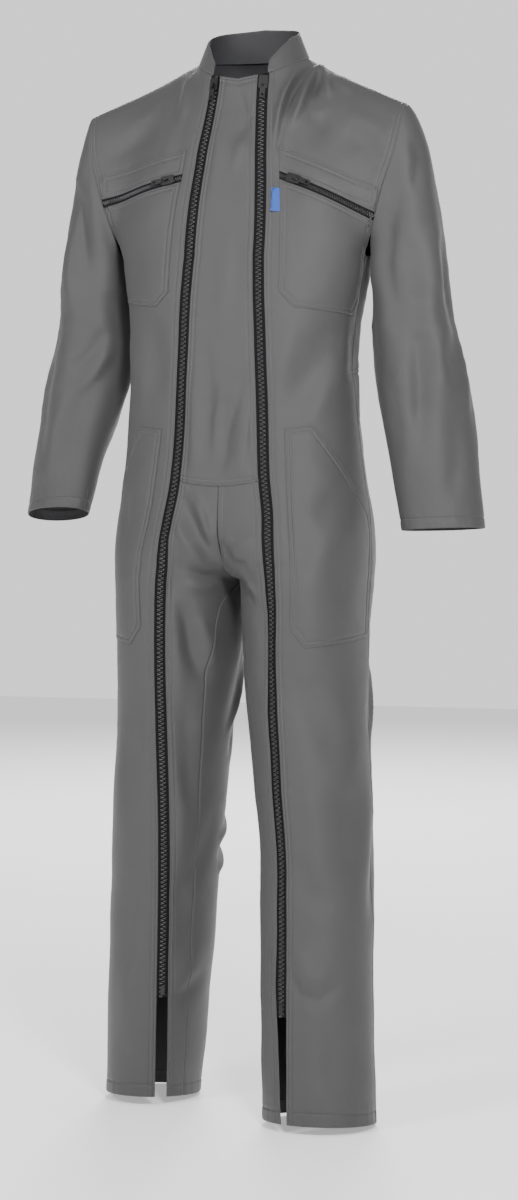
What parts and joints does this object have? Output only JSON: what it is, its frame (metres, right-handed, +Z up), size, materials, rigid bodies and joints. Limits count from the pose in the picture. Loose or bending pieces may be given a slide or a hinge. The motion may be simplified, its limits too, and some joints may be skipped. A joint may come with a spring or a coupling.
{
  "type": "boiler suit",
  "caption": "Long-sleeved work overall with a stand collar, full-length front zips down both legs, zipped chest pockets and slanted hip pockets.",
  "frame": {"origin": "middle of the neck opening, where the collar is sewn on", "axes": "+Z up, -Y the way the wearer faces, +X the wearer's left"},
  "size_m": [0.6806, 0.3156, 1.5217],
  "materials": {
    "twill": "matt grey polyester and cotton twill",
    "zip_tape": "black woven zip tape with moulded black teeth",
    "zip_stop": "moulded black plastic",
    "painted_zinc": "dark grey paint on die-cast zinc, worn a little at the edges",
    "label_weave": "blue woven tape, left blank"
  },
  "bodies": {
    "garment": {"bib": "twill", "back_body": "twill", "collar": "twill", "side_front_left": "twill", "side_front_right": "twill", "inner_leg_left": "twill", "inner_leg_right": "twill", "back_leg_left": "twill", "back_leg_right": "twill", "sleeve_left": "twill", "sleeve_right": "twill", "chest_pocket_top_left": "twill", "chest_pocket_top_right": "twill", "chest_pocket_bottom_left": "twill", "chest_pocket_bottom_right": "twill", "hip_pocket_left": "twill", "hip_pocket_right": "twill", "front_zip_left": "zip_tape", "front_zip_right": "zip_tape", "chest_zip_left": "zip_tape", "chest_zip_right": "zip_tape", "zip_end_left": "zip_stop", "zip_end_right": "zip_stop", "slider_front_left": "painted_zinc", "slider_front_right": "painted_zinc", "slider_chest_left": "painted_zinc", "slider_chest_right": "painted_zinc", "label_tab": "label_weave"},
    "tab_chest_left": {"pull_chest_left": "painted_zinc"},
    "tab_chest_right": {"pull_chest_right": "painted_zinc"},
    "tab_front_left": {"pull_front_left": "painted_zinc"},
    "tab_front_right": {"pull_front_right": "painted_zinc"}
  },
  "joints": [
    {"name": "tab_chest_left_turn", "type": "hinge", "parent": "garment", "child": "tab_chest_left", "pos_m": [0.09568, -0.10855, -0.15799], "axis": [-0.2691, -0.309, -0.9122], "range_deg": [0, 150]},
    {"name": "tab_chest_right_turn", "type": "hinge", "parent": "garment", "child": "tab_chest_right", "pos_m": [-0.09562, -0.10739, -0.15393], "axis": [-0.1285, 0.2966, 0.9463], "range_deg": [0, 150]},
    {"name": "tab_front_left_turn", "type": "hinge", "parent": "garment", "child": "tab_front_left", "pos_m": [0.03714, -0.07285, -0.02037], "axis": [-0.9386, -0.3357, 0.0799], "range_deg": [0, 150]},
    {"name": "tab_front_right_turn", "type": "hinge", "parent": "garment", "child": "tab_front_right", "pos_m": [-0.03707, -0.07265, -0.02043], "axis": [-0.9386, 0.3359, -0.079], "range_deg": [0, 150]}
  ]
}
